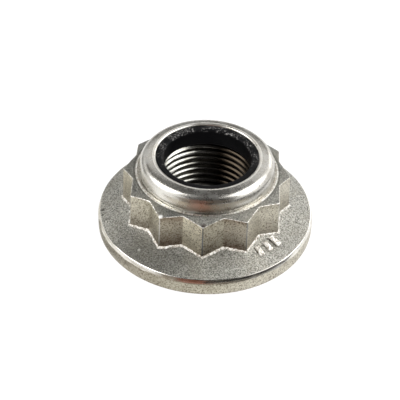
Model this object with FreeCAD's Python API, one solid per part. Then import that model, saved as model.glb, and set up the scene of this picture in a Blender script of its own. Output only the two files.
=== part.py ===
import FreeCAD, Part
import math
import os

# Flanged twelve-point axle nut with a locking ring held under a rolled collar.
# The origin is the centre of the bearing face, which lies on z = 0, and the bore runs up +Z.
# One corner of the twelve-point drive points along -Y. All sizes are in millimetres.

# Thread, right-hand M20 x 1.5, bored here at its minor diameter
thread_d = 20.0
thread_pitch = 1.5
entry_over = 0.35
entry_chamfer_deg = 45.0
start_chamfer = 0.8

# Flange, with a flat bearing face, an upright rim, a steep bevel and a conical top
flange_r = 22.5
rim_foot_chamfer = 0.35
rim_h = 2.8
bevel_h = 0.9
bevel_in = 0.35
flange_cone_deg = 19.5
foot_fillet_start_r = 17.5
foot_fillet_r = 8.0

# Twelve-point drive, two crossed hexagons with forging draft
across_flats = 30.0
drive_draft_deg = 1.5
corner_r = 17.07
drive_top_z = 13.72
top_chamfer_r = 15.05
top_chamfer_deg = 24.0

# Turned ledge round the foot of the collar
ledge_r = 14.6
ledge_h = 0.14
ledge_edge = 0.08

# Collar, with a leaning flank and a shoulder that rolls over into the lip
collar_h = 3.78
collar_foot_r = 13.95
collar_lean_deg = 7.5
shoulder_r = 2.0
shoulder_start_h = 1.85
crown_r = 11.05
lip_r = 10.5
lip_chamfer = 0.3
lip_thickness = 0.35

# Locking ring and the recess that it sits in
recess_r = 11.9
recess_floor_z = 13.3
recess_corner = 1.0
ring_clearance = 0.02
ring_bore_r = 8.9
ring_mouth_chamfer = 0.35
ring_foot_chamfer = 0.3

# Sizes that follow from those above
hexagon_sides = 6
minor_r = thread_d / 2 - 0.5413 * thread_pitch
crown_z = drive_top_z + collar_h
lip_under_z = crown_z - lip_thickness


def point(r, z):
    """A point of a turned outline, at radius r and height z."""
    return FreeCAD.Vector(r, 0, z)


def line(a, b):
    return Part.LineSegment(point(*a), point(*b)).toShape()


def lines(*corners):
    """Straight edges from each corner to the next."""
    return [line(a, b) for a, b in zip(corners, corners[1:])]


def arc(a, middle, b):
    return [Part.Arc(point(*a), point(*middle), point(*b)).toShape()]


def turned(edges):
    """The solid that a closed outline sweeps once round the Z axis."""
    face = Part.Face(Part.Wire(edges))
    return face.revolve(FreeCAD.Vector(0, 0, 0), FreeCAD.Vector(0, 0, 1), 360)


def on_circle(centre, radius, degrees):
    """The point of an outline on a circle, its angle measured up from the outward direction."""
    angle = math.radians(degrees)
    return (centre[0] + radius * math.cos(angle), centre[1] + radius * math.sin(angle))


def slope(degrees):
    return math.tan(math.radians(degrees))


def flange():
    """Turned disc with its rim, bevel and conical top, and the fillet that runs up into the drive."""
    bevel_top = (flange_r - bevel_in, rim_h + bevel_h)
    cone_rise = (bevel_top[0] - foot_fillet_start_r) * slope(flange_cone_deg)
    cone_top = (foot_fillet_start_r, bevel_top[1] + cone_rise)
    # The fillet is hollow and tangent to the cone, and it ends inside the drive
    fillet_centre = on_circle(cone_top, foot_fillet_r, 90 - flange_cone_deg)
    fillet_foot_deg = 270 - flange_cone_deg
    fillet_top_deg = 180 + math.degrees(math.acos((fillet_centre[0] - ledge_r) / foot_fillet_r))
    fillet_middle = on_circle(fillet_centre, foot_fillet_r, (fillet_foot_deg + fillet_top_deg) / 2)
    fillet_top = on_circle(fillet_centre, foot_fillet_r, fillet_top_deg)
    bearing_edge = (flange_r - rim_foot_chamfer, 0)
    return turned(
        lines((0, 0), bearing_edge, (flange_r, rim_foot_chamfer), (flange_r, rim_h), bevel_top, cone_top)
        + arc(cone_top, fillet_middle, fillet_top)
        + lines(fillet_top, (0, fillet_top[1]), (0, 0))
    )


def hexagon_corners(flat_distance, z, turn_deg):
    corner_distance = flat_distance / math.cos(math.pi / hexagon_sides)
    corners = []
    for side in range(hexagon_sides):
        angle = math.radians(turn_deg - 90 + side * 360 / hexagon_sides)
        corner = FreeCAD.Vector(corner_distance * math.cos(angle), corner_distance * math.sin(angle), z)
        corners.append(corner)
    return corners


def polygon_face(corners):
    return Part.Face(Part.makePolygon(corners + corners[:1]))


def drafted_hexagon(turn_deg):
    """A hexagonal block that narrows upwards and has its nominal size at half its height."""
    half_narrowing = slope(drive_draft_deg) * (drive_top_z - rim_h) / 2
    foot = hexagon_corners(across_flats / 2 + half_narrowing, rim_h, turn_deg)
    top = hexagon_corners(across_flats / 2 - half_narrowing, drive_top_z, turn_deg)
    faces = [polygon_face(foot), polygon_face(top)]
    for side in range(hexagon_sides):
        after = (side + 1) % hexagon_sides
        faces.append(polygon_face([foot[side], foot[after], top[after], top[side]]))
    return Part.Solid(Part.Shell(faces))


def drive():
    """Two crossed hexagons, cut to the corner radius and chamfered to a cone on top."""
    chamfer_foot_z = drive_top_z - (corner_r - top_chamfer_r) * slope(top_chamfer_deg)
    envelope = turned(
        lines(
            (0, rim_h),
            (corner_r, rim_h),
            (corner_r, chamfer_foot_z),
            (top_chamfer_r, drive_top_z),
            (0, drive_top_z),
            (0, rim_h),
        )
    )
    star = drafted_hexagon(0).fuse(drafted_hexagon(180 / hexagon_sides))
    return star.common(envelope)


def collar():
    """Ledge and collar up to the crown, with the shoulder tangent to its flank and to its top."""
    ledge_z = drive_top_z + ledge_h
    shoulder_foot_z = drive_top_z + shoulder_start_h
    shoulder_foot = (collar_foot_r - (shoulder_foot_z - ledge_z) * slope(collar_lean_deg), shoulder_foot_z)
    shoulder_centre = on_circle(shoulder_foot, shoulder_r, 180 + collar_lean_deg)
    reach = crown_r - shoulder_centre[0]
    rise = crown_z - shoulder_centre[1]
    turn = math.atan2(rise, reach) - math.acos(shoulder_r / math.hypot(reach, rise))
    shoulder_top_deg = math.degrees(turn)
    shoulder_middle = on_circle(shoulder_centre, shoulder_r, (collar_lean_deg + shoulder_top_deg) / 2)
    shoulder_top = on_circle(shoulder_centre, shoulder_r, shoulder_top_deg)
    return turned(
        lines(
            (0, rim_h),
            (ledge_r, rim_h),
            (ledge_r, ledge_z - ledge_edge),
            (ledge_r - ledge_edge, ledge_z),
            (collar_foot_r, ledge_z),
            shoulder_foot,
        )
        + arc(shoulder_foot, shoulder_middle, shoulder_top)
        + lines(shoulder_top, (crown_r, crown_z), (0, crown_z), (0, rim_h))
    )


def hollow():
    """What is cut away: the threaded bore, the recess of the ring and the mouth of the lip."""
    entry_r = thread_d / 2 + entry_over
    entry_slope = slope(entry_chamfer_deg)
    below = -entry_over
    return turned(
        lines(
            (0, below),
            (entry_r - below / entry_slope, below),
            (minor_r, (entry_r - minor_r) * entry_slope),
            (minor_r, recess_floor_z - start_chamfer),
            (minor_r + start_chamfer, recess_floor_z),
            (recess_r, recess_floor_z),
            (recess_r, lip_under_z - recess_corner),
            (recess_r - recess_corner, lip_under_z),
            (lip_r, lip_under_z),
            (lip_r, crown_z - lip_chamfer),
            (lip_r + 2 * lip_chamfer, crown_z + lip_chamfer),
            (0, crown_z + lip_chamfer),
            (0, below),
        )
    )


def nut_body():
    return flange().fuse([drive(), collar()]).cut(hollow()).removeSplitter()


def locking_ring():
    """Plain ring that stands on the recess floor and fills the recess up to its clearance."""
    outer_r = recess_r - ring_clearance
    top_z = lip_under_z - ring_clearance
    return turned(
        lines(
            (ring_bore_r + ring_foot_chamfer, recess_floor_z),
            (outer_r, recess_floor_z),
            (outer_r, top_z - recess_corner),
            (outer_r - recess_corner, top_z),
            (ring_bore_r + ring_mouth_chamfer, top_z),
            (ring_bore_r, top_z - ring_mouth_chamfer),
            (ring_bore_r, recess_floor_z + ring_foot_chamfer),
            (ring_bore_r + ring_foot_chamfer, recess_floor_z),
        )
    )


os.makedirs("parts", exist_ok=True)
for name, shape in {"nut_body": nut_body(), "locking_ring": locking_ring()}.items():
    shape.exportStep("parts/" + name + ".step")
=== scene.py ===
import bmesh
import bpy
import math
from mathutils import Matrix, Vector, noise


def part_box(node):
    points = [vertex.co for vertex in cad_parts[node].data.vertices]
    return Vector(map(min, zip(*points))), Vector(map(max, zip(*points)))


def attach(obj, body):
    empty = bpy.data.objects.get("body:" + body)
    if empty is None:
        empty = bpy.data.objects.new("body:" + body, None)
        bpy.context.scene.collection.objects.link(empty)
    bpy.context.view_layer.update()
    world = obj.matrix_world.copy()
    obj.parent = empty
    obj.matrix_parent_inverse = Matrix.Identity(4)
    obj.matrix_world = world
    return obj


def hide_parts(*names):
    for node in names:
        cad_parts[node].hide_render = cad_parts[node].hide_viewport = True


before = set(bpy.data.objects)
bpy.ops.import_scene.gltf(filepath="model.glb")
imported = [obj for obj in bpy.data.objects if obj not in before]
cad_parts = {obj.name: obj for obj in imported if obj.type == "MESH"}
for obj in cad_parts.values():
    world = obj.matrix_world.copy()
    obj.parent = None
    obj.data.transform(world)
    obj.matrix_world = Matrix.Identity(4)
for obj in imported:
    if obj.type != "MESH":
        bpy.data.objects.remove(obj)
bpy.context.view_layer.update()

bl_info = {
    "name": "Axle Nut",
    "version": (1, 0, 0),
    "blender": (4, 5, 0),
    "location": "View3D > Sidebar > Axle Nut",
    "description": "Dresses the packed axle nut with its thread, its finishes and a small studio",
    "category": "Add Mesh",
}

MM = 0.001
BODY_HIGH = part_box("nut_body")[1]
RING_LOW, RING_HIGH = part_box("locking_ring")

# Columns round the axis, a whole number to each half step between the drive's corners
COLUMNS = 360
CORNERS = 12
HALF_STEP = math.pi / CORNERS

# A worn corner's land gets this many columns to each side
LAND_COLUMNS = 3
LAND_SPAN = LAND_COLUMNS * 2 * math.pi / COLUMNS

# Rows of the turned outline that each stretch gets
CONE_ROWS = 6
APRON_ROWS = 5
SIDE_ROWS = 5
BROW_ROWS = 3
BOW_STEPS = 6
SHOULDER_POINTS = 14
LIP_POINTS = 7

# Where the cone's rows start inside the bevel, and how far apart they are
CONE_START = 1.2 * MM
CONE_STEP = 0.33 * MM

# The flash: its least width and height as shares, how much the ragged edge adds, and its gap to the apron
LEAST_WIDTH = 0.45
LEAST_HEIGHT = 0.25
RAGGED_SHARE = 0.75
APRON_GAP = 0.144 * MM

# How fine the flash's ragged edge and the bevel's dents are, and how strong their noise is
WIDTH_WAVES = 80.0
HEIGHT_WAVES = 90.0
DENT_WAVES = 14.0
NOISE_GAIN = 0.9

# Each outer row of the flash at a share of its width and of its height, then the row against the flat
FLASH_ROWS = {"flash_foot": (1.0, 0.0), "flash_rise": (0.8, 0.8), "flash_brow": (0.45, 1.0)}
HEEL_SHARE = 0.9
HEEL_GAP = 0.03 * MM

# Small breaks of the ledge's and the crown's edges, across and down
LEDGE_BREAK = (0.05 * MM, 0.04 * MM)
CROWN_BREAK = (0.12 * MM, 0.012 * MM)

# The ledge falls towards its groove by a share of the groove's depth, and ends this far outside it
LEDGE_FALL = 0.1
GROOVE_BRIM = 0.02 * MM

# A corner's rounding takes up at most this share of the shorter side
LONGEST_ROUND = 0.45

# Points across one turn of the thread, as shares of its pitch on both sides of the crest
THREAD_POINTS = (-0.5, -0.42, -0.285, -0.15, -0.1, 0.1, 0.15, 0.285, 0.42, 0.5)
HALF_CREST = 0.125
FLANK = 0.3125

# Vertices nearer than this are one, and turns nearer than this are the same column
SAME = 0.002 * MM
SAME_TURN = 1e-4

# Where the search for the drive's upper edge starts, under its flat top
EDGE_GUESS = 0.5 * MM

# Start of the turn that the flat with painted light takes up, to the left of the corner at -Y
LIT_FLAT = 2 * math.pi - HALF_STEP


def length(name, description, millimetres):
    return bpy.props.FloatProperty(
        name=name, description=description, default=millimetres * MM, unit="LENGTH", precision=5
    )


def angle(name, description, degrees):
    return bpy.props.FloatProperty(
        name=name, description=description, default=math.radians(degrees), subtype="ANGLE"
    )


def colour(name, description, value):
    return bpy.props.FloatVectorProperty(
        name=name, description=description, default=value, size=3, subtype="COLOR", min=0.0, max=1.0
    )


class FlangeSizes(bpy.types.PropertyGroup):
    """Sizes of the flange."""

    radius: length("Radius", "Outside of the upright rim", BODY_HIGH.x / MM)
    foot_chamfer: length("Foot chamfer", "Broken edge round the bearing face", 0.35)
    rim_height: length("Rim height", "Top of the upright rim", 2.8)
    bevel_height: length("Bevel height", "Height of the steep bevel over the rim", 0.9)
    bevel_width: length("Bevel width", "How far the bevel comes in", 0.35)
    edge_round: length("Edge rounding", "Rounding of the rim and the bevel", 0.14)
    dents: length("Dents", "Unevenness of the bevel's lower edge", 0.3)
    cone_slope: angle("Cone slope", "Rise of the flange's top towards the drive", 19.5)
    fillet_start: length("Fillet start", "Where the hollow fillet leaves the cone", 17.5)
    fillet_radius: length("Fillet radius", "Hollow fillet at the foot of the drive", 8.0)
    flash_width: length("Flash width", "Width of the trimmed flash round the drive", 0.44)
    flash_height: length("Flash height", "Highest point of the trimmed flash", 0.36)


class DriveSizes(bpy.types.PropertyGroup):
    """Sizes of the twelve-point drive."""

    across_flats: length("Across flats", "Across the flats at half height", 30.0)
    draft: angle("Draft", "Forging draft of each flat", 1.5)
    corner_radius: length("Corner radius", "From the axis to the worn corners", 17.25)
    top: length("Top", "Height of the drive's flat top", 13.72)
    chamfer_start: length("Chamfer start", "Radius where the top chamfer starts", 15.05)
    chamfer_slope: angle("Chamfer slope", "Fall of the top chamfer", 24.0)
    edge_round: length("Edge rounding", "Rounding between the flats and the chamfer", 0.13)


class CollarSizes(bpy.types.PropertyGroup):
    """Sizes of the collar and its rolled lip."""

    ledge_radius: length("Ledge radius", "Outside of the turned ledge", 14.6)
    ledge_height: length("Ledge height", "Step of the ledge over the drive", 0.14)
    ledge_edge: length("Ledge edge", "Width of the ledge's broken edge", 0.22)
    ledge_round: length("Ledge rounding", "Rounding of the ledge and the groove", 0.05)
    groove_width: length("Groove width", "Width of the fine groove at the collar's foot", 0.3)
    groove_depth: length("Groove depth", "Depth of that groove", 0.2)
    foot_radius: length("Foot radius", "Foot of the collar's flank", 13.95)
    lean: angle("Lean", "Lean of the flank towards the axis", 7.5)
    shoulder_radius: length("Shoulder radius", "Rounding of the shoulder", 2.0)
    bow: angle("Bow", "How far the flank's slope changes either way along its height", 6.0)
    shoulder_start: length("Shoulder start", "Height over the drive where the shoulder starts", 2.05)
    crown: length("Crown", "Highest point of the collar", BODY_HIGH.z / MM)
    crown_radius: length("Crown radius", "Radius of the highest circle", 11.05)
    lip_radius: length("Lip radius", "Inside of the rolled lip", 10.5)
    lip_round: length("Lip rounding", "Height of the rounding over the lip's edge", 0.34)
    lip_thickness: length("Lip thickness", "Thickness of the lip over the ring", 0.35)


class BoreSizes(bpy.types.PropertyGroup):
    """Sizes of the thread, the recess and the ring in it."""

    thread_radius: length("Thread radius", "Half the nominal diameter", 10.0)
    pitch: length("Pitch", "Rise of the right-hand thread in a turn", 1.5)
    minor_radius: length("Minor radius", "Radius over the thread's crests", 9.188)
    entry_over: length("Entry over", "How far the entry chamfer is wider than the thread", 0.35)
    start_chamfer: length("Start chamfer", "Chamfer under the recess floor", 0.8)
    recess_floor: length("Recess floor", "Height of the recess floor", RING_LOW.z / MM)
    recess_radius: length("Recess radius", "Wall of the recess", RING_HIGH.x / MM + 0.02)
    recess_corner: length("Recess corner", "Slanted corner of the recess", 1.0)
    crest_height: length("Crest height", "Height of the first crest at the back", 0.5)
    ring_bore: length("Ring bore", "Inside of the locking ring", 8.9)
    ring_mouth: length("Ring mouth", "Slanted edge at the ring's mouth", 0.35)
    ring_round: length("Ring rounding", "Rounding of the ring's edges", 0.16)


class BarSizes(bpy.types.PropertyGroup):
    """Number and sizes of the plain raised bars on the flange."""

    count: bpy.props.IntProperty(name="Count", description="Number of bars", default=3, min=0)
    inner_radius: length("Inner radius", "Inner end of the bars", 17.3)
    outer_radius: length("Outer radius", "Outer end of the bars", 19.4)
    width: length("Width", "Width of a bar", 1.15)
    height: length("Height", "Height of the bars over the flange", 0.3)
    sunk: length("Sunk", "How far the bars go into the flange", 0.3)
    edge_round: length("Edge rounding", "Rounding of the bars' edges", 0.14)
    first: angle("First", "Bearing of the first bar", 38.5)
    step: angle("Step", "Angle from one bar to the next", 7.0)


class Finishes(bpy.types.PropertyGroup):
    """Colours of the finishes."""

    plated: colour("Plated steel", "Plating of the turned collar", (0.66, 0.645, 0.605))
    worn: colour("Worn plating", "Plating where the collar is worn", (0.52, 0.495, 0.445))
    grains: colour("Pale grains", "Pale grains of the flange's top", (0.72, 0.705, 0.64))
    pits: colour("Dark pits", "Dark pits of the flange's top", (0.085, 0.083, 0.07))
    forged: colour("Forged steel", "Clean patches of the wrench flats and the rim", (0.56, 0.53, 0.42))
    scaled: colour("Scaled steel", "Dull patches of the wrench flats and the rim", (0.42, 0.39, 0.30))
    # Painted shade: a brown that darkens the flats and the rim towards their foot
    foot_shade: colour("Foot_shade", "Brown stain low on the flats", (0.16, 0.12, 0.09))
    speck: colour("Specks", "Dark specks of the flats and the rim", (0.12, 0.09, 0.065))
    sheared: colour("Sheared steel", "Bright steel of the flash", (0.97, 0.955, 0.91))
    ring: colour("Ring", "Black polymer of the locking ring", (0.004, 0.004, 0.0045))
    dust: colour("Dust", "Pale dust on the ring", (0.35, 0.34, 0.33))


def sizes():
    return bpy.context.scene.axle_nut


class AxleNut(bpy.types.PropertyGroup):
    """All settings of the nut."""

    flange: bpy.props.PointerProperty(type=FlangeSizes)
    drive: bpy.props.PointerProperty(type=DriveSizes)
    collar: bpy.props.PointerProperty(type=CollarSizes)
    bore: bpy.props.PointerProperty(type=BoreSizes)
    bars: bpy.props.PointerProperty(type=BarSizes)
    finishes: bpy.props.PointerProperty(type=Finishes)


# Outlines

def on_circle(centre, radius, turn):
    return (centre[0] + radius * math.cos(turn), centre[1] + radius * math.sin(turn))


def arc_points(centre, radius, start, end, count):
    """Points on an arc, both ends counted."""
    return [on_circle(centre, radius, start + (end - start) * i / (count - 1)) for i in range(count)]


def bowed(start, end, bow):
    """Points from near the start up to the end on an arc whose slope changes by twice the bow."""
    start, end = Vector(start), Vector(end)
    along = end - start
    outward = Vector((along.y, -along.x)).normalized()
    radius = along.length / (2 * math.sin(bow))
    points = []
    for step in range(1, BOW_STEPS + 1):
        off = (step / BOW_STEPS - 0.5) * along.length
        bulge = math.sqrt(radius ** 2 - off ** 2) - radius * math.cos(bow)
        points.append(tuple(start + along * (step / BOW_STEPS) + outward * bulge))
    return points


def softened(corners, rounding):
    """The outline with each inner corner replaced by a short rounding of three points."""
    points = [corners[0]]
    for before, corner, after in zip(corners, corners[1:], corners[2:]):
        corner, before, after = Vector(corner), Vector(before), Vector(after)
        back, on = before - corner, after - corner
        reach = min(rounding, LONGEST_ROUND * min(back.length, on.length))
        a = corner + back.normalized() * reach
        b = corner + on.normalized() * reach
        points += [tuple(a), tuple(corner * 0.5 + (a + b) * 0.25), tuple(b)]
    points.append(corners[-1])
    return points


def flange_top(flange, radius):
    """Height of the flange's cone or hollow fillet at a radius."""
    bevel_top = flange.rim_height + flange.bevel_height
    slope = math.tan(flange.cone_slope)
    outside = flange.radius - flange.bevel_width
    if radius >= flange.fillet_start:
        return bevel_top + (outside - radius) * slope
    start = bevel_top + (outside - flange.fillet_start) * slope
    centre_r = flange.fillet_start + flange.fillet_radius * math.sin(flange.cone_slope)
    centre_z = start + flange.fillet_radius * math.cos(flange.cone_slope)
    return centre_z - math.sqrt(flange.fillet_radius ** 2 - (centre_r - radius) ** 2)


def from_corner(turn):
    """Angle to the nearest corner of the drive."""
    step = 2 * HALF_STEP
    return abs((turn + HALF_STEP) % step - HALF_STEP)


def flat_distance(drive, flange, height):
    """Distance from the axis to the flats at a height, with their draft."""
    return drive.across_flats / 2 - (height - (flange.rim_height + drive.top) / 2) * math.tan(drive.draft)


def corner_reach(drive, flange, height):
    """Distance from the axis to the worn corners at a height, with the same draft as the flats."""
    return drive.corner_radius * flat_distance(drive, flange, height) / (drive.across_flats / 2)


def land_angle(drive):
    """Half the angle that a corner's worn land takes up."""
    return 2 * HALF_STEP - math.acos(drive.across_flats / 2 / drive.corner_radius)


def crowded(turn, land):
    """The angle moved so that a few columns span each corner's land and the rest span the flats."""
    step = 2 * HALF_STEP
    corner = round(turn / step) * step
    off = abs(turn - corner)
    if off <= LAND_SPAN:
        moved = off / LAND_SPAN * land
    else:
        moved = land + (HALF_STEP - land) * (off - LAND_SPAN) / (HALF_STEP - LAND_SPAN)
    return corner + math.copysign(moved, turn - corner)


def flat_radius(drive, flange, turn, height):
    """Distance from the axis to the flats at an angle, as if the corners were sharp."""
    return flat_distance(drive, flange, height) / math.cos(2 * HALF_STEP - from_corner(turn))


def drive_radius(drive, flange, turn, height):
    """Distance from the axis to the side of the drive."""
    return min(flat_radius(drive, flange, turn, height), corner_reach(drive, flange, height))


def brow_height(drive, radius):
    """Height of the drive's top and its chamfer at a radius."""
    return drive.top - max(0.0, radius - drive.chamfer_start) * math.tan(drive.chamfer_slope)


def ragged(turn, seed, waves):
    """Noise from 0 to 1 round the axis, the same after a full turn."""
    spot = Vector((math.cos(turn) * waves, math.sin(turn) * waves, seed))
    return max(0.0, min(1.0, 0.5 + NOISE_GAIN * noise.noise(spot)))


# Nut body

# Which finish each stretch of the outline has, which stretches the drive shapes, and the materials' order
FINISH_OF_ROW = {
    "face": "bearing", "rim": "rim", "bevel": "bevel", "cone": "flange", "apron": "flange",
    "flash_foot": "flash", "flash_rise": "flash", "flash_brow": "flash", "flash_heel": "flats",
    "side": "flats", "edge": "edge", "brow": "brow", "ledge": "ledge", "collar": "collar",
    "lip": "lip", "bore": "bearing"
}
DRIVE_PARTS = ("apron", "flash_foot", "flash_rise", "flash_brow", "flash_heel", "side", "edge", "brow")
FINISH_ORDER = (
    "bearing", "rim", "bevel", "flange", "flash", "edge", "flats", "lit_flat", "land", "brow", "ledge",
    "collar", "lip", "thread"
)


def body_rows():
    """The turned outline of the body, as rows of radius, height, name and share of the way along it."""
    return flange_rows() + drive_rows() + collar_rows() + bore_rows()


def flange_rows():
    """From the bore's lower edge along the bearing face, up the rim and bevel and in along the cone."""
    flange, bore = sizes().flange, sizes().bore
    bevel_top = (flange.radius - flange.bevel_width, flange.rim_height + flange.bevel_height)
    cone_start = bevel_top[0] - CONE_START
    corners = [
        (bore.thread_radius + bore.entry_over, 0.0), (flange.radius - flange.foot_chamfer, 0.0),
        (flange.radius, flange.foot_chamfer), (flange.radius, flange.rim_height), bevel_top,
        (cone_start, flange_top(flange, cone_start))
    ]
    # The rounding makes three rows of each corner between the first and the last
    names = ["face"] * 3 + ["rim"] * 6 + ["bevel"] * 3 + ["cone"] * 2
    rows = [(r, z, name, 0.0) for (r, z), name in zip(softened(corners, flange.edge_round), names)]
    for step in range(1, CONE_ROWS + 1):
        radius = cone_start - step * CONE_STEP
        rows.append((radius, flange_top(flange, radius), "cone", 0.0))
    return rows


def drive_rows():
    """From the cone over the flash, up the flats and in over the chamfer, as they are at -Y."""
    parts = [("apron", step / APRON_ROWS) for step in range(1, APRON_ROWS + 1)]
    parts += [(name, 1.0) for name in ("flash_foot", "flash_rise", "flash_brow", "flash_heel")]
    parts += [("side", step / SIDE_ROWS) for step in range(1, SIDE_ROWS + 1)]
    parts.append(("edge", 1.0))
    parts += [("brow", step / BROW_ROWS) for step in range(BROW_ROWS + 1)]
    return [drive_row(name, part, 0.0) + (name, part) for name, part in parts]


def collar_rows():
    """From the drive's top over the ledge and its groove, up the flank and over the shoulder and lip."""
    drive, collar = sizes().drive, sizes().collar
    ledge_top = drive.top + collar.ledge_height
    groove_top = ledge_top - LEDGE_FALL * collar.groove_depth
    groove_radius = collar.foot_radius + collar.groove_width
    shoulder_z = drive.top + collar.shoulder_start
    shoulder_foot = (collar.foot_radius - (shoulder_z - ledge_top) * math.tan(collar.lean), shoulder_z)
    ledge = [
        (drive.chamfer_start, drive.top), (collar.ledge_radius, drive.top),
        (collar.ledge_radius - LEDGE_BREAK[0], ledge_top - LEDGE_BREAK[1]),
        (collar.ledge_radius - collar.ledge_edge, ledge_top), (groove_radius, groove_top),
        (collar.foot_radius, groove_top - collar.groove_depth), shoulder_foot
    ]
    outline = softened(ledge, collar.ledge_round)[1:]
    outline[-1:] = bowed(outline[-2], shoulder_foot, collar.bow)
    rows = [(r, z, "ledge" if r > groove_radius + GROOVE_BRIM else "collar", 0.0) for r, z in outline]
    shoulder_turn = collar.lean + collar.bow
    centre = on_circle(shoulder_foot, collar.shoulder_radius, math.pi + shoulder_turn)
    reach, rise = collar.crown_radius - centre[0], collar.crown - centre[1]
    turn = math.atan2(rise, reach) - math.acos(collar.shoulder_radius / math.hypot(reach, rise))
    shoulder = arc_points(centre, collar.shoulder_radius, shoulder_turn, turn, SHOULDER_POINTS)
    rows += [(r, z, "collar", 0.0) for r, z in shoulder[1:]]
    lip = [(collar.crown_radius + CROWN_BREAK[0], collar.crown - CROWN_BREAK[1])]
    lip_width = collar.crown_radius - collar.lip_radius
    for turn in (math.pi / 2 * (1 + step / (LIP_POINTS - 1)) for step in range(LIP_POINTS)):
        fall = collar.lip_round * (1 - math.sin(turn))
        lip.append((collar.crown_radius + lip_width * math.cos(turn), collar.crown - fall))
    lip.append((collar.lip_radius, collar.crown - collar.lip_thickness))
    return rows + [(r, z, "lip", 0.0) for r, z in lip]


def bore_rows():
    """From under the lip round the recess and in to the thread's upper end."""
    collar, bore = sizes().collar, sizes().bore
    lip_foot = collar.crown - collar.lip_thickness
    recess = [
        (bore.recess_radius - bore.recess_corner, lip_foot),
        (bore.recess_radius, lip_foot - bore.recess_corner), (bore.recess_radius, bore.recess_floor),
        (bore.minor_radius + bore.start_chamfer, bore.recess_floor)
    ]
    return [(r, z, "bore", 0.0) for r, z in recess]


def drive_row(name, part, turn):
    """Radius and height of one of the drive's rows at an angle."""
    flange, drive = sizes().flange, sizes().drive
    foot = drive_radius(drive, flange, turn, flange_top(flange, drive.corner_radius))
    ground = flange_top(flange, foot)
    foot = drive_radius(drive, flange, turn, ground)
    sharp = flat_radius(drive, flange, turn, ground)
    width = flange.flash_width * (LEAST_WIDTH + RAGGED_SHARE * ragged(turn, 1.0, WIDTH_WAVES))
    rise = flange.flash_height * (LEAST_HEIGHT + RAGGED_SHARE * ragged(turn, 4.0, HEIGHT_WAVES))
    if name == "apron":
        start = flange.radius - flange.bevel_width - CONE_START - CONE_ROWS * CONE_STEP
        end = sharp + flange.flash_width * (LEAST_WIDTH + RAGGED_SHARE) + APRON_GAP
        radius = start + (end - start) * part
        return radius, flange_top(flange, radius)
    if name in FLASH_ROWS:
        out, up = FLASH_ROWS[name]
        return sharp + width * out, flange_top(flange, sharp + width * out) + rise * up
    heel = ground + rise * HEEL_SHARE
    if name == "flash_heel":
        return foot + HEEL_GAP, heel
    brow, edge = drive_edge(drive, flange, turn)
    if name == "side":
        height = heel + (edge - drive.edge_round - heel) * part
        return drive_radius(drive, flange, turn, height), height
    if name == "edge":
        return brow - drive.edge_round / 4, edge - drive.edge_round / 4
    inner = brow - drive.edge_round
    radius = inner + (drive.chamfer_start - inner) * part
    return radius, brow_height(drive, radius)


def drive_edge(drive, flange, turn):
    """Radius and height at which the drive's side meets its top chamfer, found in two steps."""
    height = drive.top - EDGE_GUESS
    for step in range(2):
        radius = drive_radius(drive, flange, turn, height)
        height = brow_height(drive, radius)
    return radius, height


def place(vertex, turn, radius, height):
    """Puts a vertex at an angle from -Y, a radius and a height."""
    vertex.co = (radius * math.sin(turn), -radius * math.cos(turn), height)


def turn_of(point):
    """Angle from -Y round to a point, from 0 to a full turn."""
    return math.atan2(point.x, -point.y) % (2 * math.pi)


def column_of(point):
    """Exact angle of the column that a point stands on."""
    return round(turn_of(point) / (2 * math.pi) * COLUMNS) * 2 * math.pi / COLUMNS


def turned(bm, rows):
    """Spins the rows' outline about Z, with each row's number kept on its vertices."""
    tag = bm.verts.layers.int.new("row")
    verts = []
    for number, (radius, height) in enumerate(rows):
        vertex = bm.verts.new((0, -radius, height))
        vertex[tag] = number
        verts.append(vertex)
    edges = [bm.edges.new(pair) for pair in zip(verts, verts[1:])]
    bmesh.ops.spin(
        bm, geom=verts + edges, cent=(0, 0, 0), axis=(0, 0, 1), dvec=(0, 0, 0), angle=2 * math.pi,
        steps=COLUMNS, use_merge=True, use_normal_flip=False, use_duplicate=False
    )
    return tag


def thread_radius_at(bore, turn, height):
    """Radius of the thread's flank at an angle and height, with flat crests and flat roots."""
    along = (height - bore.crest_height) / bore.pitch - (turn - math.pi) / (2 * math.pi)
    off = abs((along + 0.5) % 1 - 0.5)
    depth = bore.thread_radius - bore.minor_radius
    return bore.minor_radius + depth * max(0.0, min(1.0, (off - HALF_CREST) / FLANK))


def thread_limit(bore, height):
    """Radius of the entry and start chamfers at a height."""
    entry = bore.thread_radius + bore.entry_over - height
    start = bore.minor_radius + bore.start_chamfer - (bore.recess_floor - height)
    return max(entry, start)


def trim_thread(bm, bore):
    """Moves what stands past the ends of the bore or inside its chamfers onto them."""
    top, entry = bore.recess_floor, bore.thread_radius + bore.entry_over
    cut = []
    for vertex in bm.verts:
        turn = column_of(vertex.co)
        height = vertex.co.z
        radius = vertex.co.xy.length
        over = thread_limit(bore, min(max(height, 0.0), top)) - radius
        if height <= 0:
            place(vertex, turn, entry, 0.0)
        elif height >= top:
            place(vertex, turn, bore.minor_radius + bore.start_chamfer, top)
        elif over > 0:
            cut.append((vertex, turn, height, over))
        else:
            place(vertex, turn, radius, height)
    # A vertex inside a chamfer slides along its column to where the flank meets that chamfer
    moved = {vertex for vertex, _, _, _ in cut}
    for vertex, turn, height, over in cut:
        target = height
        for edge in vertex.link_edges:
            other = edge.other_vert(vertex)
            across = abs(turn_of(other.co) - turn) > SAME_TURN
            if across or other in moved or not 0 < other.co.z < top:
                continue
            under = other.co.xy.length - thread_limit(bore, other.co.z)
            if under > 0:
                target = height + (other.co.z - height) * over / (over + under)
        place(vertex, turn, thread_limit(bore, target), target)
    bmesh.ops.remove_doubles(bm, verts=bm.verts, dist=SAME)


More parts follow.
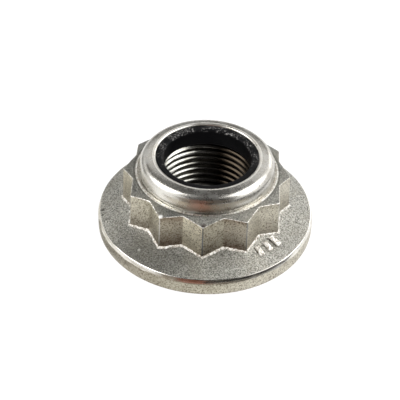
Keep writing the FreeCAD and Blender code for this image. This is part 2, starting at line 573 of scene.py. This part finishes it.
def thread_mesh():
    """One turn of the thread copied up the bore, trimmed to both chamfers."""
    bore = sizes().bore
    bm = bmesh.new()
    # At -Y a crest stands half a pitch lower than at the back, and the copies start one turn below it
    first = bore.crest_height - 1.5 * bore.pitch
    turns = math.ceil((bore.recess_floor - first) / bore.pitch) + 1
    strip = []
    for off in THREAD_POINTS:
        height = first + off * bore.pitch
        strip.append(bm.verts.new((0, -thread_radius_at(bore, 0.0, height), height)))
    edges = [bm.edges.new(pair) for pair in zip(strip, strip[1:])]
    bmesh.ops.spin(
        bm, geom=strip + edges, cent=(0, 0, 0), axis=(0, 0, 1), dvec=(0, 0, bore.pitch / COLUMNS),
        angle=2 * math.pi, steps=COLUMNS, use_merge=False, use_normal_flip=False, use_duplicate=False
    )
    turn_of_thread = bm.verts[:] + bm.edges[:] + bm.faces[:]
    for number in range(1, turns):
        copy = bmesh.ops.duplicate(bm, geom=turn_of_thread)
        verts = [part for part in copy["geom"] if isinstance(part, bmesh.types.BMVert)]
        bmesh.ops.translate(bm, verts=verts, vec=(0, 0, number * bore.pitch))
    bmesh.ops.remove_doubles(bm, verts=bm.verts, dist=SAME)
    trim_thread(bm, bore)
    for face in bm.faces:
        face.material_index = FINISH_ORDER.index("thread")
    mesh = bpy.data.meshes.new("thread")
    bm.to_mesh(mesh)
    bm.free()
    return mesh


def body_mesh():
    """The whole body as one closed mesh."""
    bm = bmesh.new()
    rows = body_rows()
    tag = turned(bm, [(radius, height) for radius, height, _, _ in rows])
    flange, land = sizes().flange, land_angle(sizes().drive)
    for vertex in bm.verts:
        radius, height, name, part = rows[vertex[tag]]
        turn = column_of(vertex.co)
        if name in DRIVE_PARTS:
            turn += (crowded(turn, land) - turn) * (part if name == "apron" else 1.0)
            radius, height = drive_row(name, part, turn)
        if name in ("rim", "bevel") and abs(height - flange.rim_height) < flange.dents:
            height += (ragged(turn, 7.0, DENT_WAVES) - 0.5) * flange.dents
        place(vertex, turn, radius, height)
    for face in bm.faces:
        row = min(vertex[tag] for vertex in face.verts)
        finish = FINISH_OF_ROW[rows[row][2]]
        turn = turn_of(face.calc_center_median())
        if finish == "flats" and from_corner(turn) < land:
            finish = "land"
        # One flat gets a lighter copy of the flats' finish, painted light
        elif finish == "flats" and turn > LIT_FLAT:
            finish = "lit_flat"
        face.material_index = FINISH_ORDER.index(finish)
    thread = thread_mesh()
    bm.from_mesh(thread)
    bpy.data.meshes.remove(thread)
    bmesh.ops.remove_doubles(bm, verts=bm.verts, dist=SAME)
    bmesh.ops.recalc_face_normals(bm, faces=bm.faces)
    return bm


def ring_mesh():
    """The locking ring, with rounded mouth and foot."""
    bore = sizes().bore
    low, high, outer = RING_LOW.z, RING_HIGH.z, RING_HIGH.x
    mouth = bore.ring_mouth
    outline = [
        (bore.ring_bore + mouth, low), (outer, low), (outer, high - bore.recess_corner),
        (outer - bore.recess_corner, high), (bore.ring_bore + mouth, high), (bore.ring_bore, high - mouth),
        (bore.ring_bore, low + mouth)
    ]
    bm = bmesh.new()
    rows = softened(outline + outline[:2], bore.ring_round)[1:-1]
    turned(bm, rows + rows[:1])
    bmesh.ops.remove_doubles(bm, verts=bm.verts, dist=SAME)
    bmesh.ops.recalc_face_normals(bm, faces=bm.faces)
    return bm


def bars_mesh():
    """Plain raised bars that lie along the flange's cone."""
    bars, flange = sizes().bars, sizes().flange
    bm = bmesh.new()
    for number in range(bars.count):
        for vertex in bmesh.ops.create_cube(bm, size=1.0)["verts"]:
            radius = bars.inner_radius + (0.5 + vertex.co.y) * (bars.outer_radius - bars.inner_radius)
            turn = bars.first + number * bars.step + vertex.co.x * bars.width / radius
            lift = bars.height if vertex.co.z > 0 else -bars.sunk
            place(vertex, turn, radius, flange_top(flange, radius) + lift)
    bmesh.ops.bevel(
        bm, geom=bm.edges[:], offset=bars.edge_round, segments=2, profile=0.5, affect="EDGES", material=-1
    )
    bmesh.ops.recalc_face_normals(bm, faces=bm.faces)
    return bm


# Finishes

# Places of a Mix node's colour sockets, which come after those for numbers and vectors
MIX_A, MIX_B, MIX_RESULT = 6, 7, 2


class Nodes:
    """Short ways to add and join the nodes of one material."""

    def __init__(self, name):
        self.material = bpy.data.materials.new(name)
        self.material.use_nodes = True
        self.tree = self.material.node_tree
        self.shader = self.tree.nodes["Principled BSDF"]
        self.place = self.add("ShaderNodeTexCoord").outputs["Object"]

    def add(self, kind, **values):
        node = self.tree.nodes.new(kind)
        for name, value in values.items():
            setattr(node, name, value)
        return node

    def join(self, start, end):
        self.tree.links.new(start, end)

    def set(self, socket, value):
        if isinstance(value, bpy.types.NodeSocket):
            self.join(value, socket)
        else:
            socket.default_value = value

    def math(self, operation, a, b=0.0):
        node = self.add("ShaderNodeMath", operation=operation)
        self.set(node.inputs[0], a)
        self.set(node.inputs[1], b)
        return node.outputs[0]

    def along(self, axis):
        """The place on the nut along one axis."""
        split = self.add("ShaderNodeSeparateXYZ")
        self.join(self.place, split.inputs[0])
        return split.outputs[axis]

    def grain(self, size, detail, roughness=0.5, stretch=(1, 1, 1), seed=0.0):
        """Noise with features of about the given size in metres."""
        spot = self.add("ShaderNodeMapping")
        self.join(self.place, spot.inputs["Vector"])
        spot.inputs["Scale"].default_value = stretch
        spot.inputs["Location"].default_value = (seed, seed * 0.7, seed * 1.3)
        noise_node = self.add("ShaderNodeTexNoise")
        self.join(spot.outputs[0], noise_node.inputs["Vector"])
        noise_node.inputs["Scale"].default_value = 1 / size
        noise_node.inputs["Detail"].default_value = detail
        noise_node.inputs["Roughness"].default_value = roughness
        return noise_node.outputs["Fac"]

    def near(self, spot, inner, outer):
        """1 within the inner distance of a spot on the nut and 0 beyond the outer one, in millimetres."""
        node = self.add("ShaderNodeVectorMath", operation="DISTANCE")
        self.join(self.place, node.inputs[0])
        node.inputs[1].default_value = Vector(spot) * MM
        return self.ranged(node.outputs["Value"], inner * MM, outer * MM, 1.0, 0.0)

    def shaded(self, tone, shades):
        """The tone with patches of other tones over it."""
        for spot, inner, outer, amount, value in shades:
            cover = self.math("MULTIPLY", self.near(spot, inner, outer), amount)
            tone = self.mixed(cover, tone, opaque(value))
        return tone

    def ranged(self, value, low, high, to_low=0.0, to_high=1.0):
        """The value spread from one range over another and kept inside it."""
        node = self.add("ShaderNodeMapRange")
        self.set(node.inputs["Value"], value)
        limits = {"From Min": low, "From Max": high, "To Min": to_low, "To Max": to_high}
        for name, number in limits.items():
            node.inputs[name].default_value = number
        return node.outputs["Result"]

    def mixed(self, share_of_b, a, b):
        """The first colour with a share of the second."""
        node = self.add("ShaderNodeMix", data_type="RGBA")
        self.set(node.inputs["Factor"], share_of_b)
        self.set(node.inputs[MIX_A], a)
        self.set(node.inputs[MIX_B], b)
        return node.outputs[MIX_RESULT]

    def bump(self, height, distance):
        node = self.add("ShaderNodeBump")
        node.inputs["Distance"].default_value = distance
        self.join(height, node.inputs["Height"])
        return node.outputs["Normal"]

    def finish(self, tone, roughness, normal=None, metal=1.0):
        """Sets the shader and gives the material."""
        self.shader.inputs["Metallic"].default_value = metal
        self.set(self.shader.inputs["Base Color"], tone)
        self.set(self.shader.inputs["Roughness"], roughness)
        if normal:
            self.join(normal, self.shader.inputs["Normal"])
        return self.material


def opaque(value):
    return (*value, 1.0)


def finishes():
    return sizes().finishes


# Patches of another tone, many of them painted light and shade: each has its place, inner and outer reach
# in millimetres, share and colour
# Flange: the first three patches are painted shade to the front left, the front and the front right; then a
# small pale spot and two dark pits
FLANGE_SHADES = (
    ((-12, -18, 4), 3, 13, 0.68, (0.085, 0.082, 0.07)),
    ((19, -12, 4), 2, 8, 0.35, (0.20, 0.19, 0.165)),
    ((1, -21, 4), 3, 11, 0.38, (0.09, 0.09, 0.075)),
    ((-12.6, -15.2, 4.5), 0.1, 0.45, 0.4, (0.9, 0.88, 0.82)),
    ((-21.3, -2.9, 3.9), 0.1, 0.6, 0.9, (0.06, 0.05, 0.045)),
    ((-21.2, -4.4, 3.9), 0.1, 0.4, 0.8, (0.06, 0.05, 0.045)),
)
# Rim: painted shade to the front left
RIM_SHADES = (
    ((-12.5, -18.7, 1.5), 4.0, 11.0, 0.35, (0.20, 0.165, 0.115)),
)
# Bevel: painted shade to the front right
BEVEL_SHADES = (
    ((11.5, -19.0, 3.3), 4.0, 9.0, 0.6, (0.10, 0.095, 0.085)),
)
# Flats: painted shade, reddish-brown, low on the flats to both sides of the corner at -Y
FLATS_SHADES = (
    ((-6.2, -15.2, 5.5), 1.0, 4.0, 0.3, (0.20, 0.12, 0.08)),
    ((6.2, -15.2, 5.0), 0.6, 2.6, 0.5, (0.30, 0.14, 0.09)),
)
# Chamfer: painted shade to the front left, a painted glint on a small worn nick at the corner to the left,
# and a dark brown spot at the front corner
CHAMFER_SHADES = (
    ((-6.3, -13.6, 13.5), 1.0, 4.2, 0.45, (0.05, 0.052, 0.048)),
    ((-8.4, -14.5, 13.0), 0.15, 0.55, 0.95, (0.97, 0.96, 0.92)),
    ((0.1, -16.8, 13.0), 0.3, 0.8, 0.85, (0.06, 0.045, 0.04)),
)
# Lands: painted shade that darkens them at the front
LAND_SHADES = (
    ((0, -17, 9), 5.0, 7.0, 0.85, (0.10, 0.11, 0.12)),
    ((8.6, -14.9, 9), 5.0, 7.0, 0.75, (0.12, 0.125, 0.13)),
)
# Collar: painted highlights on the flank and shoulder to the front left and front right, then two small
# dark pits
COLLAR_SHADES = (
    ((-7.5, -11.6, 15.3), 1.5, 4.8, 0.75, (0.88, 0.86, 0.79)),
    ((9.0, -10.4, 15.3), 1.5, 5.0, 0.45, (0.88, 0.86, 0.79)),
    ((10.6, -8.0, 16.7), 0.05, 0.28, 0.9, (0.10, 0.09, 0.08)),
    ((12.6, -6.4, 16.0), 0.05, 0.2, 0.7, (0.12, 0.11, 0.1)),
)

# Darker pits and grains of the drive's chamfered top
CHAMFER_PITS = (0.085, 0.083, 0.075)
CHAMFER_GRAINS = (0.34, 0.335, 0.30)

# Colours that only one finish has
GREASE = (0.34, 0.315, 0.255)
RUBBED = (0.74, 0.70, 0.60)
# Painted light that makes the flats and the rim paler towards both sides
SIDE_LIGHT = (0.80, 0.76, 0.66)
PLATING_PITS = (0.20, 0.17, 0.14)
SHEARED_DULL = (0.58, 0.53, 0.44)
SHEARED_SPECKS = (0.15, 0.12, 0.09)
CUT_DULL = (0.38, 0.37, 0.32)
CUT_BRIGHT = (0.68, 0.68, 0.635)
# Painted shade of the thread's darker side
BORE_SHADE = (0.042, 0.033, 0.024)


def blasted_steel(name, pits, grains, roughness, shades):
    """Grey steel with the fine grain that blasting leaves."""
    nodes = Nodes(name)
    fine = nodes.grain(0.30 * MM, 4.0, 0.8)
    broad = nodes.grain(4.0 * MM, 3.0, 0.6, seed=2.0)
    tone = nodes.mixed(nodes.ranged(fine, 0.40, 0.60), opaque(pits), opaque(grains))
    tone = nodes.mixed(nodes.ranged(broad, 0.45, 0.75, 0.0, 0.45), tone, opaque(GREASE))
    tone = nodes.shaded(tone, shades)
    rough = nodes.ranged(broad, 0.3, 0.7, roughness - 0.05, roughness + 0.06)
    return nodes.finish(tone, rough, nodes.bump(fine, 0.14 * MM))


def forged_steel(name, low, high, foot_shade, roughness, shades=(), bright=1.0):
    """Warm steel with dark specks; painted shade makes it browner from the high height down to the low one,
    and painted light makes it paler to both sides where that shade is used.
    """
    nodes = Nodes(name)
    fine = nodes.grain(0.34 * MM, 4.0, 0.75)
    broad = nodes.grain(2.5 * MM, 3.0, 0.6, seed=3.0)
    dull, clean = Vector(finishes().scaled) * bright, Vector(finishes().forged) * bright
    tone = nodes.mixed(nodes.ranged(broad, 0.35, 0.65), opaque(dull), opaque(clean))
    height = nodes.ranged(nodes.along("Z"), low, high)
    uneven_height = nodes.math("ADD", height, nodes.math("MULTIPLY", broad, 0.6))
    # Painted shade: browner towards the low height, made ragged by the broad grain
    low_down = nodes.ranged(uneven_height, 0.25, 1.1, foot_shade, 0.0)
    tone = nodes.mixed(low_down, tone, opaque(finishes().foot_shade))
    tone = nodes.mixed(nodes.ranged(fine, 0.32, 0.5, 0.5, 0.0), tone, opaque(RUBBED))
    # Painted light: paler towards the left and right sides wherever the foot shade is used
    if foot_shade:
        aside = nodes.math("ABSOLUTE", nodes.math("ADD", nodes.along("X"), 4.0 * MM))
        tone = nodes.mixed(nodes.ranged(aside, 6.0 * MM, 15.0 * MM, 0.0, 0.4), tone, opaque(SIDE_LIGHT))
    tone = nodes.shaded(tone, shades)
    tone = nodes.mixed(nodes.ranged(fine, 0.51, 0.61, 0.0, 0.9), tone, opaque(finishes().speck))
    rough = nodes.ranged(broad, 0.3, 0.7, roughness, roughness + 0.1)
    return nodes.finish(tone, rough, nodes.bump(fine, 0.08 * MM))


def turned_steel(name, roughness, bright, shades=()):
    """Smooth plated steel with faint wear and small pits."""
    nodes = Nodes(name)
    broad = nodes.grain(2.6 * MM, 4.0, 0.65, seed=5.0)
    fine = nodes.grain(0.40 * MM, 4.0, 0.75, seed=1.0)
    worn, plated = Vector(finishes().worn) * bright, Vector(finishes().plated) * bright
    tone = nodes.mixed(nodes.ranged(broad, 0.35, 0.65), opaque(worn), opaque(plated))
    tone = nodes.mixed(nodes.ranged(fine, 0.56, 0.72, 0.0, 0.22), tone, opaque(PLATING_PITS))
    tone = nodes.shaded(tone, shades)
    rough = nodes.ranged(broad, 0.3, 0.7, roughness, roughness + 0.1)
    return nodes.finish(tone, rough, nodes.bump(fine, 0.0025 * MM))


def sheared_steel(name, roughness, metal, speck):
    """Freshly sheared steel of the flash and the worn edges, with specks where the grain passes a level."""
    nodes = Nodes(name)
    fine = nodes.grain(0.40 * MM, 3.0, 0.7, stretch=(1, 1, 0.3), seed=7.0)
    tone = nodes.mixed(nodes.ranged(fine, 0.40, 0.62), opaque(finishes().sheared), opaque(SHEARED_DULL))
    tone = nodes.mixed(nodes.ranged(fine, speck, speck + 0.08, 0.0, 0.8), tone, opaque(SHEARED_SPECKS))
    return nodes.finish(tone, roughness, nodes.bump(fine, 0.05 * MM), metal)


def threaded_steel():
    """Cut steel of the thread, with painted shade that darkens one side of the bore."""
    nodes = Nodes("cut_thread")
    broad = nodes.grain(1.5 * MM, 3.0, 0.6, seed=9.0)
    tone = nodes.mixed(nodes.ranged(broad, 0.3, 0.7), opaque(CUT_DULL), opaque(CUT_BRIGHT))
    # Painted shade: the thread turns dark towards +X
    tone = nodes.mixed(nodes.ranged(nodes.along("X"), -6.5 * MM, 2.5 * MM), tone, opaque(BORE_SHADE))
    return nodes.finish(tone, 0.2, nodes.bump(nodes.grain(0.2 * MM, 2.0), 0.004 * MM))


def black_polymer():
    """Black polymer with pale dust on the far part of its top."""
    nodes = Nodes("black_polymer")
    fine = nodes.grain(0.36 * MM, 3.0, 0.75, seed=4.0)
    patches = nodes.grain(2.2 * MM, 2.0, 0.6, seed=6.0)
    specks = nodes.math("MULTIPLY", nodes.ranged(fine, 0.54, 0.62), nodes.ranged(patches, 0.42, 0.56))
    specks = nodes.math("MULTIPLY", specks, nodes.ranged(nodes.along("Y"), -4.5 * MM, 0.0))
    top = nodes.ranged(nodes.along("Z"), RING_HIGH.z - 0.5 * MM, RING_HIGH.z - 0.2 * MM)
    dusty = nodes.math("MULTIPLY", specks, top)
    tone = nodes.mixed(dusty, opaque(finishes().ring), opaque(finishes().dust))
    nodes.shader.inputs["Specular IOR Level"].default_value = 0.08
    return nodes.finish(tone, 0.42, nodes.bump(fine, 0.03 * MM), metal=0.0)


def finished(bm, name, materials, sharp_angle, node=None):
    """Makes the piece of a finished bmesh, which may stand for a node of the frame."""
    mesh = bpy.data.meshes.new(name)
    bm.to_mesh(mesh)
    bm.free()
    for polygon in mesh.polygons:
        polygon.use_smooth = True
    mesh.set_sharp_from_angle(angle=math.radians(sharp_angle))
    piece = bpy.data.objects.new(name, mesh)
    bpy.context.collection.objects.link(piece)
    for material in materials:
        mesh.materials.append(material)
    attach(piece, "root")
    if node:
        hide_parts(node)


# Operators

class AXLENUT_OT_body(bpy.types.Operator):
    """Make the threaded body with its finishes"""

    bl_idname = "axlenut.body"
    bl_label = "Nut Body"

    def execute(self, context):
        tones = finishes()
        foot, top = 5.0 * MM, 12.5 * MM
        materials = {
            "bearing": forged_steel("bearing_face", 0.0, 1.0, 0.0, 0.36),
            # The rim's tone is a tenth darker than the forged finish, painted shade
            "rim": forged_steel("forged_rim", -0.1 * MM, 1.0 * MM, 1.0, 0.36, RIM_SHADES, 0.9),
            # The bevel is a lighter copy of the plated finish, painted light
            "bevel": turned_steel("bevel_steel", 0.12, 1.3, BEVEL_SHADES),
            "flange": blasted_steel("blasted_steel", tones.pits, tones.grains, 0.38, FLANGE_SHADES),
            "flash": sheared_steel("bright_steel", 0.5, 0.2, 0.54),
            "edge": sheared_steel("edge_steel", 0.4, 0.5, 0.5),
            "flats": forged_steel("forged_flats", foot, top, 0.75, 0.28, FLATS_SHADES),
            # The flat left of the corner at -Y is a lighter copy of the forged flats, painted light
            "lit_flat": forged_steel("lit_flat", foot, top, 0.4, 0.28, bright=1.45),
            "land": turned_steel("land_steel", 0.25, 0.9, LAND_SHADES),
            "brow": blasted_steel("chamfer_steel", CHAMFER_PITS, CHAMFER_GRAINS, 0.34, CHAMFER_SHADES),
            "ledge": sheared_steel("ledge_steel", 0.34, 1.0, 0.58),
            "collar": turned_steel("turned_steel", 0.22, 1.0, COLLAR_SHADES),
            # The lip is a lighter copy of the plated finish, painted light
            "lip": turned_steel("lip_steel", 0.25, 1.5),
            "thread": threaded_steel()
        }
        in_order = [materials[name] for name in FINISH_ORDER]
        finished(body_mesh(), "threaded_body", in_order, 24, "nut_body")
        return {"FINISHED"}


class AXLENUT_OT_ring(bpy.types.Operator):
    """Make the black locking ring in its recess"""

    bl_idname = "axlenut.ring"
    bl_label = "Locking Ring"

    def execute(self, context):
        finished(ring_mesh(), "black_ring", [black_polymer()], 50, "locking_ring")
        return {"FINISHED"}


class AXLENUT_OT_bars(bpy.types.Operator):
    """Make the plain raised bars on the flange"""

    bl_idname = "axlenut.bars"
    bl_label = "Raised Bars"

    def execute(self, context):
        steel = sheared_steel("bar_steel", 0.45, 0.5, 0.53)
        finished(bars_mesh(), "raised_bars", [steel], 40)
        return {"FINISHED"}


# Camera and stage

# Lens and sensor in millimetres, the picture's width in pixels, and the camera's place and turns
LENS = 99.0
SENSOR = 36.0
PIXELS = 400
DISTANCE = 233.58 * MM
ELEVATION = math.radians(40.028)
ROLL = math.radians(-1.961)
BEARING = math.radians(1.449)

# How far from the picture's centre the nut's foot lies, in pixels to the right and up
SHIFT = (5.622, -20.009)

# Middle of the nut, at which the lamps and cards aim
AIM = Vector((0, 0, 10 * MM))

# The floor's side, how far it lies under the bearing face, its own tone and its glow
FLOOR_SIZE = 4.0
FLOOR_DROP = 0.02 * MM
FLOOR_TONE = 0.28
FLOOR_GLOW = 0.8

# How strongly the room lights the nut, though the camera and the nut's gloss see it at full strength
ROOM_LIGHT = 0.35

WHITE = (1, 1, 1)
DARK = (0.03, 0.03, 0.03)


def add_camera():
    """Camera at the viewing angle, which looks past the nut's foot by the offsets in pixels."""
    focal = LENS / SENSOR * PIXELS
    right = Vector((1, 0, 0))
    up = Vector((0, math.sin(ELEVATION), math.cos(ELEVATION)))
    ahead = Vector((0, math.cos(ELEVATION), -math.sin(ELEVATION)))
    spot = -DISTANCE * ahead - right * (SHIFT[0] * DISTANCE / focal) - up * (SHIFT[1] * DISTANCE / focal)
    camera_right = math.cos(ROLL) * right - math.sin(ROLL) * up
    camera_up = math.sin(ROLL) * right + math.cos(ROLL) * up
    axes = Matrix((camera_right, camera_up, -ahead)).transposed().to_4x4()
    data = bpy.data.cameras.new("product_view")
    data.lens, data.sensor_width, data.clip_start = LENS, SENSOR, 0.01
    camera = bpy.data.objects.new("product_view", data)
    camera.matrix_world = Matrix.Rotation(BEARING, 4, "Z") @ Matrix.Translation(spot) @ axes
    bpy.context.collection.objects.link(camera)
    bpy.context.scene.camera = camera


def aimed(thing, bearing, elevation, distance):
    """Places a lamp or card on a sphere round the nut's middle, facing it, by degrees and metres."""
    turn = math.radians(bearing)
    rise = math.radians(elevation)
    away = Vector((math.sin(turn) * math.cos(rise), -math.cos(turn) * math.cos(rise), math.sin(rise)))
    thing.location = away * distance + AIM
    thing.rotation_euler = away.to_track_quat("Z", "Y").to_euler()


def add_softbox(name, bearing, elevation, distance, width, height, radiance):
    """An area lamp given by its sides in metres and the radiance of its face."""
    lamp = bpy.data.lights.new(name, "AREA")
    lamp.shape, lamp.size, lamp.size_y = "RECTANGLE", width, height
    lamp.energy = radiance * math.pi * width * height
    box = bpy.data.objects.new(name, lamp)
    aimed(box, bearing, elevation, distance)
    bpy.context.collection.objects.link(box)
    return box


def flat_mesh(name, width, depth):
    """A flat rectangle round the origin."""
    bm = bmesh.new()
    bmesh.ops.create_grid(bm, x_segments=1, y_segments=1, size=0.5)
    bmesh.ops.scale(bm, vec=(width, depth, 1), verts=bm.verts)
    mesh = bpy.data.meshes.new(name)
    bm.to_mesh(mesh)
    bm.free()
    return mesh


def add_card(name, bearing, elevation, distance, width, height, tint):
    """A flat card that the nut mirrors, unseen by the camera and without a shadow."""
    mesh = flat_mesh(name, width, height)
    card = bpy.data.objects.new(name, mesh)
    aimed(card, bearing, elevation, distance)
    bpy.context.collection.objects.link(card)
    nodes = Nodes(name)
    mesh.materials.append(nodes.finish(opaque(tint), 0.9, metal=0.0))
    card.visible_camera = False
    card.visible_shadow = False
    return card


def add_floor_card(name, bearing, away, width, depth, tint, lift=0.3):
    """A card that lies just over the floor, with its place and sides in millimetres."""
    turn = math.radians(bearing)
    card = add_card(name, bearing, 90, 0.0, width * MM, depth * MM, tint)
    card.rotation_euler = (0, 0, turn)
    card.location = Vector((away * math.sin(turn), -away * math.cos(turn), lift)) * MM


def backdrop_share(tree):
    """1 for camera, glossy and transmission rays, which see the plain white background."""
    path = tree.nodes.new("ShaderNodeLightPath")
    share = path.outputs["Is Camera Ray"]
    for ray in ("Is Glossy Ray", "Is Transmission Ray"):
        either = tree.nodes.new("ShaderNodeMath")
        either.operation = "MAXIMUM"
        tree.links.new(share, either.inputs[0])
        tree.links.new(path.outputs[ray], either.inputs[1])
        share = either.outputs[0]
    return share


def add_world():
    """A white room that is dimmer where it lights the nut than where it is seen."""
    world = bpy.data.worlds.new("pale_room")
    world.use_nodes = True
    tree = world.node_tree
    background = tree.nodes["Background"]
    background.inputs["Color"].default_value = opaque(WHITE)
    strength = tree.nodes.new("ShaderNodeMapRange")
    tree.links.new(backdrop_share(tree), strength.inputs["Value"])
    strength.inputs["To Min"].default_value = ROOM_LIGHT
    strength.inputs["To Max"].default_value = 1.0
    tree.links.new(strength.outputs[0], background.inputs["Strength"])
    bpy.context.scene.world = world


def add_floor():
    """A pale floor that keeps the nut's shadow, clear from below so that the bearing face shows there."""
    mesh = flat_mesh("pale_floor", FLOOR_SIZE, FLOOR_SIZE)
    floor = bpy.data.objects.new("pale_floor", mesh)
    floor.location.z = -FLOOR_DROP
    bpy.context.collection.objects.link(floor)
    material = bpy.data.materials.new("pale_floor")
    material.use_nodes = True
    tree = material.node_tree
    paint = tree.nodes["Principled BSDF"]
    paint.inputs["Base Color"].default_value = opaque((FLOOR_TONE, FLOOR_TONE, FLOOR_TONE))
    paint.inputs["Roughness"].default_value = 0.9
    paint.inputs["Specular IOR Level"].default_value = 0.0
    paint.inputs["Emission Color"].default_value = opaque(WHITE)
    glow = tree.nodes.new("ShaderNodeMath")
    glow.operation = "MULTIPLY"
    tree.links.new(backdrop_share(tree), glow.inputs[0])
    glow.inputs[1].default_value = FLOOR_GLOW
    tree.links.new(glow.outputs[0], paint.inputs["Emission Strength"])
    side = tree.nodes.new("ShaderNodeNewGeometry")
    clear = tree.nodes.new("ShaderNodeBsdfTransparent")
    one_sided = tree.nodes.new("ShaderNodeMixShader")
    tree.links.new(side.outputs["Backfacing"], one_sided.inputs[0])
    tree.links.new(paint.outputs[0], one_sided.inputs[1])
    tree.links.new(clear.outputs[0], one_sided.inputs[2])
    tree.links.new(one_sided.outputs[0], tree.nodes["Material Output"].inputs["Surface"])
    mesh.materials.append(material)


def add_lamps():
    """Softboxes on both sides, and a fill from the front that leaves no highlight."""
    add_softbox("left_box", -90, 49, 0.6, 0.28, 0.46, 4.5)
    add_softbox("right_box", 96, 49, 0.6, 0.52, 0.47, 2.6)
    add_softbox("right_back_box", 146, 16, 0.6, 0.30, 0.20, 1.6)
    fill = add_softbox("fill_box", 8, 40, 0.5, 0.25, 0.25, 10.0)
    fill.visible_glossy = False


def add_standing_cards():
    """Cards round the nut, whose reflections shade and tint the bright steel."""
    add_card("overhead_card", 178, 74, 0.50, 0.44, 0.42, (0.08, 0.08, 0.08))
    add_card("front_card", 12, 50, 0.62, 0.86, 0.84, (0.05, 0.05, 0.05))
    add_card("low_card", 24, 4, 0.50, 1.40, 0.16, DARK)
    add_card("beige_left_card", -29, 13, 0.46, 0.17, 0.26, (0.42, 0.38, 0.31))
    add_card("back_card", 180, 17, 0.55, 0.60, 0.20, (0.22, 0.22, 0.21))
    add_card("left_low_card", -130, 3, 0.50, 0.40, 0.18, (0.24, 0.24, 0.22))
    add_card("brown_card", -10, 15, 0.45, 0.20, 0.32, (0.34, 0.145, 0.095))
    add_card("beige_band_card", 0, 24, 0.48, 0.90, 0.19, (0.24, 0.21, 0.165))
    add_card("left_back_card", -120, 55, 0.60, 0.48, 0.50, (0.14, 0.135, 0.12))


def add_floor_cards():
    """Cards on the floor, which the flats and the collar's flank reflect."""
    add_floor_card("tan_card", 0, 96.5, 160, 130, (0.12, 0.099, 0.075))
    add_floor_card("brown_floor_card", -7, 94, 26, 100, (0.28, 0.14, 0.10), 0.6)
    add_floor_card("brown_far_card", -8, 230, 64, 180, (0.30, 0.14, 0.10), 0.6)
    add_floor_card("beige_card", -35, 68, 34, 46, (0.46, 0.41, 0.33), 0.5)
    add_floor_card("beige_front_card", 12, 76, 24, 64, (0.22, 0.185, 0.145), 0.55)
    add_floor_card("beige_right_card", 42, 68, 40, 46, (0.30, 0.275, 0.225), 0.5)
    add_floor_card("far_card", 62, 154, 150, 220, DARK, 0.2)
    add_floor_card("front_floor_card", -8, 300, 300, 280, DARK, 0.1)
    add_floor_card("flank_card", -105, 37, 40, 24, (0.60, 0.585, 0.53))
    # A dark strip beside the rim to the left, a painted shadow on the floor that the steel mirrors
    add_floor_card("left_card", -64, 23.9, 20, 2.4, (0.24, 0.23, 0.21))
    # A dark sheet under the bore, painted shade on the floor that the thread mirrors
    add_floor_card("bore_card", 0, 0, 13, 13, (0.02, 0.02, 0.02))


class AXLENUT_OT_stage(bpy.types.Operator):
    """Set up the camera, the floor, the lamps and the cards"""

    bl_idname = "axlenut.stage"
    bl_label = "Stage"

    def execute(self, context):
        context.scene.view_settings.view_transform = "Standard"
        add_camera()
        add_world()
        add_floor()
        add_lamps()
        add_standing_cards()
        add_floor_cards()
        return {"FINISHED"}


class AXLENUT_PT_panel(bpy.types.Panel):
    """Lists the steps that make the nut"""

    bl_label = "Axle Nut"
    bl_idname = "AXLENUT_PT_panel"
    bl_space_type = "VIEW_3D"
    bl_region_type = "UI"
    bl_category = "Axle Nut"

    def draw(self, context):
        for operator in OPERATORS:
            self.layout.operator(operator.bl_idname)


GROUPS = (FlangeSizes, DriveSizes, CollarSizes, BoreSizes, BarSizes, Finishes, AxleNut)
OPERATORS = (AXLENUT_OT_stage, AXLENUT_OT_body, AXLENUT_OT_ring, AXLENUT_OT_bars)


def register():
    for kind in GROUPS + OPERATORS + (AXLENUT_PT_panel,):
        bpy.utils.register_class(kind)
    bpy.types.Scene.axle_nut = bpy.props.PointerProperty(type=AxleNut)


def unregister():
    del bpy.types.Scene.axle_nut
    for kind in reversed(GROUPS + OPERATORS + (AXLENUT_PT_panel,)):
        bpy.utils.unregister_class(kind)


def main():
    register()
    bpy.ops.axlenut.stage()
    bpy.ops.axlenut.body()
    bpy.ops.axlenut.ring()
    bpy.ops.axlenut.bars()


if __name__ == "__main__":
    main()
